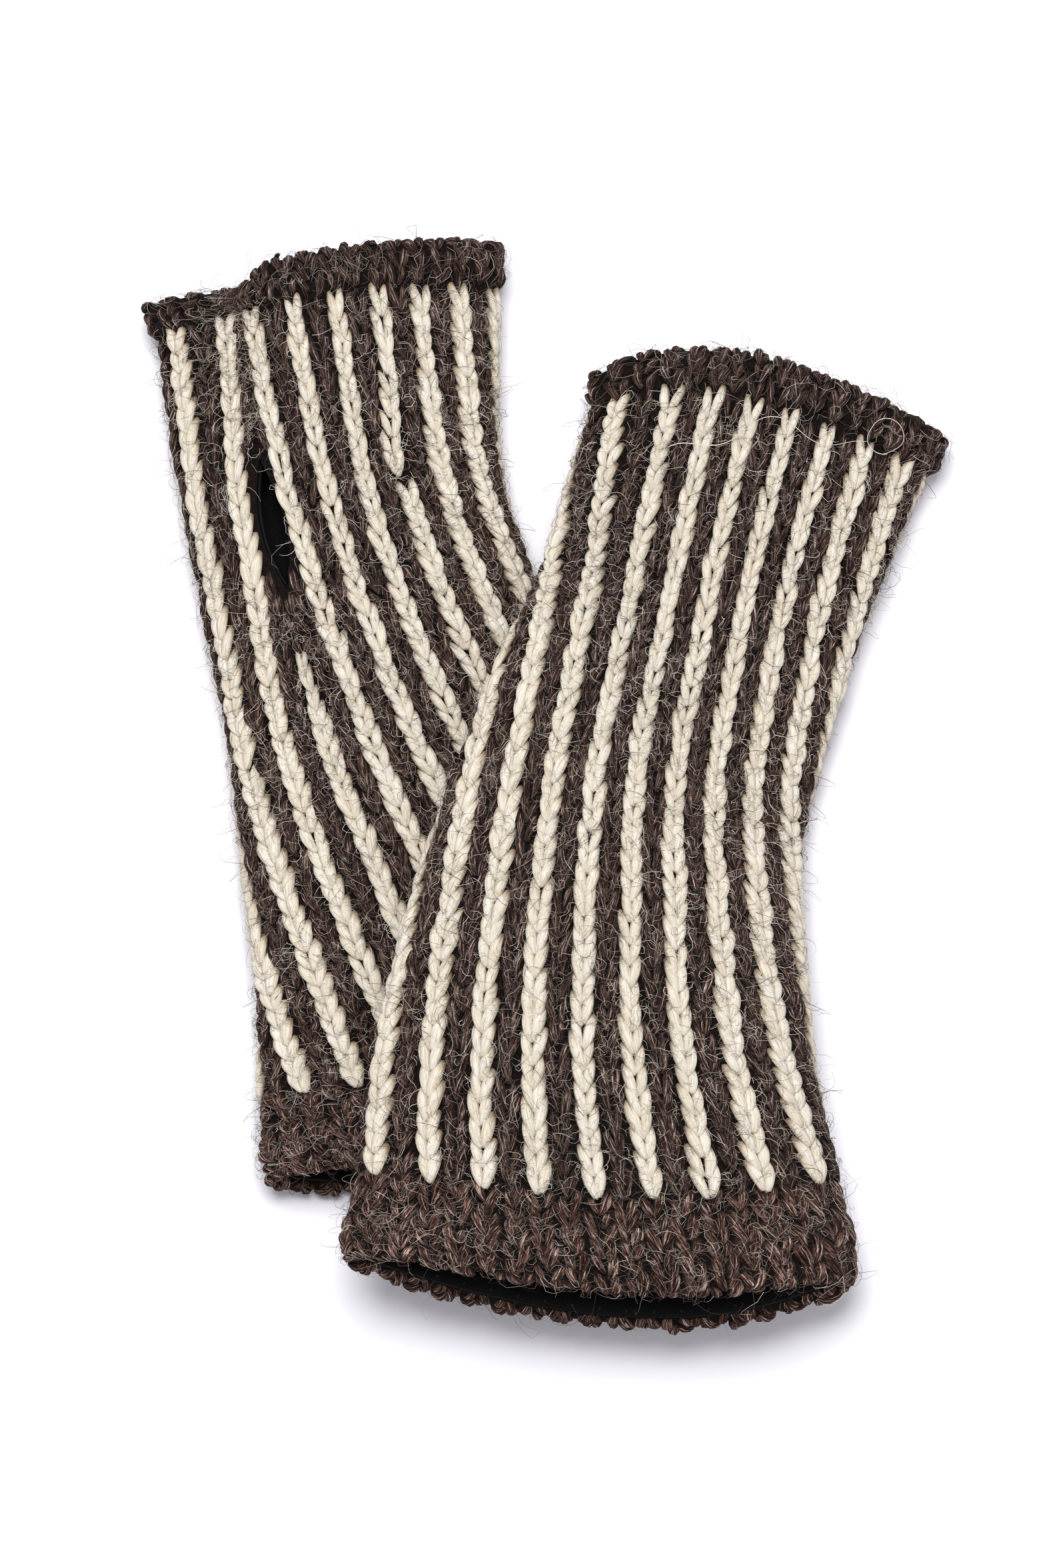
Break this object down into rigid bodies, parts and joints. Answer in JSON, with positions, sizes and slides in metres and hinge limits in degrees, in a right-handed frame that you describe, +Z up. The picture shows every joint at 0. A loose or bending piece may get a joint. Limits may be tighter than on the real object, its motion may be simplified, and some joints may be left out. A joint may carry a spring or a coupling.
{
  "type": "fingerless gloves",
  "caption": "Pair of striped hand-knitted wool fingerless gloves, flared tubes with thumb slits and fleece lining, one laid across the other.",
  "frame": {"origin": "centre of the pair's box, on the surface that it lies on", "axes": "+Z up from the surface, +Y towards the finger ends, +X to the right as seen from the wrist ends"},
  "size_m": [0.2042, 0.2772, 0.0388],
  "materials": {
    "brown_wool": "heathered dark brown hand-knitted wool, fuzzy",
    "cream_wool": "natural cream wool yarn, soft twist",
    "black_fleece": "black fleece, matt short pile",
    "dark_thread": "dark sewing thread, matt"
  },
  "bodies": {
    "left_glove": {"left_knit_body": "brown_wool", "left_finger_band": "brown_wool", "left_wrist_band": "brown_wool", "left_fleece_lining": "black_fleece", "left_lining_seam": "black_fleece", "left_finger_hem_thread": "dark_thread", "left_wrist_hem_thread": "dark_thread", "left_thumb_hem_thread": "dark_thread", "left_cream_stripe_01": "cream_wool", "left_cream_stripe_02": "cream_wool", "left_cream_stripe_03": "cream_wool", "left_cream_stripe_04": "cream_wool", "left_cream_stripe_05": "cream_wool", "left_cream_stripe_06": "cream_wool", "left_cream_stripe_07": "cream_wool", "left_cream_stripe_08": "cream_wool", "left_cream_stripe_09": "cream_wool", "left_cream_stripe_10": "cream_wool", "left_cream_stripe_11": "cream_wool", "left_cream_stripe_12": "cream_wool", "left_cream_stripe_13": "cream_wool", "left_cream_stripe_14": "cream_wool", "left_cream_stripe_15": "cream_wool", "left_cream_stripe_16": "cream_wool", "left_cream_stripe_17": "cream_wool", "left_cream_stripe_18": "cream_wool"},
    "right_glove": {"right_knit_body": "brown_wool", "right_finger_band": "brown_wool", "right_wrist_band": "brown_wool", "right_fleece_lining": "black_fleece", "right_lining_seam": "black_fleece", "right_finger_hem_thread": "dark_thread", "right_wrist_hem_thread": "dark_thread", "right_thumb_hem_thread": "dark_thread", "right_cream_stripe_01": "cream_wool", "right_cream_stripe_02": "cream_wool", "right_cream_stripe_03": "cream_wool", "right_cream_stripe_04": "cream_wool", "right_cream_stripe_05": "cream_wool", "right_cream_stripe_06": "cream_wool", "right_cream_stripe_07": "cream_wool", "right_cream_stripe_08": "cream_wool", "right_cream_stripe_09": "cream_wool", "right_cream_stripe_10": "cream_wool", "right_cream_stripe_11": "cream_wool", "right_cream_stripe_12": "cream_wool", "right_cream_stripe_13": "cream_wool", "right_cream_stripe_14": "cream_wool", "right_cream_stripe_15": "cream_wool", "right_cream_stripe_16": "cream_wool", "right_cream_stripe_17": "cream_wool", "right_cream_stripe_18": "cream_wool"}
  },
  "joints": [
    {"name": "right_glove_lift", "type": "slide", "parent": "left_glove", "child": "right_glove", "axis": [0, 0, 1], "range_m": [0, 0.12]}
  ]
}
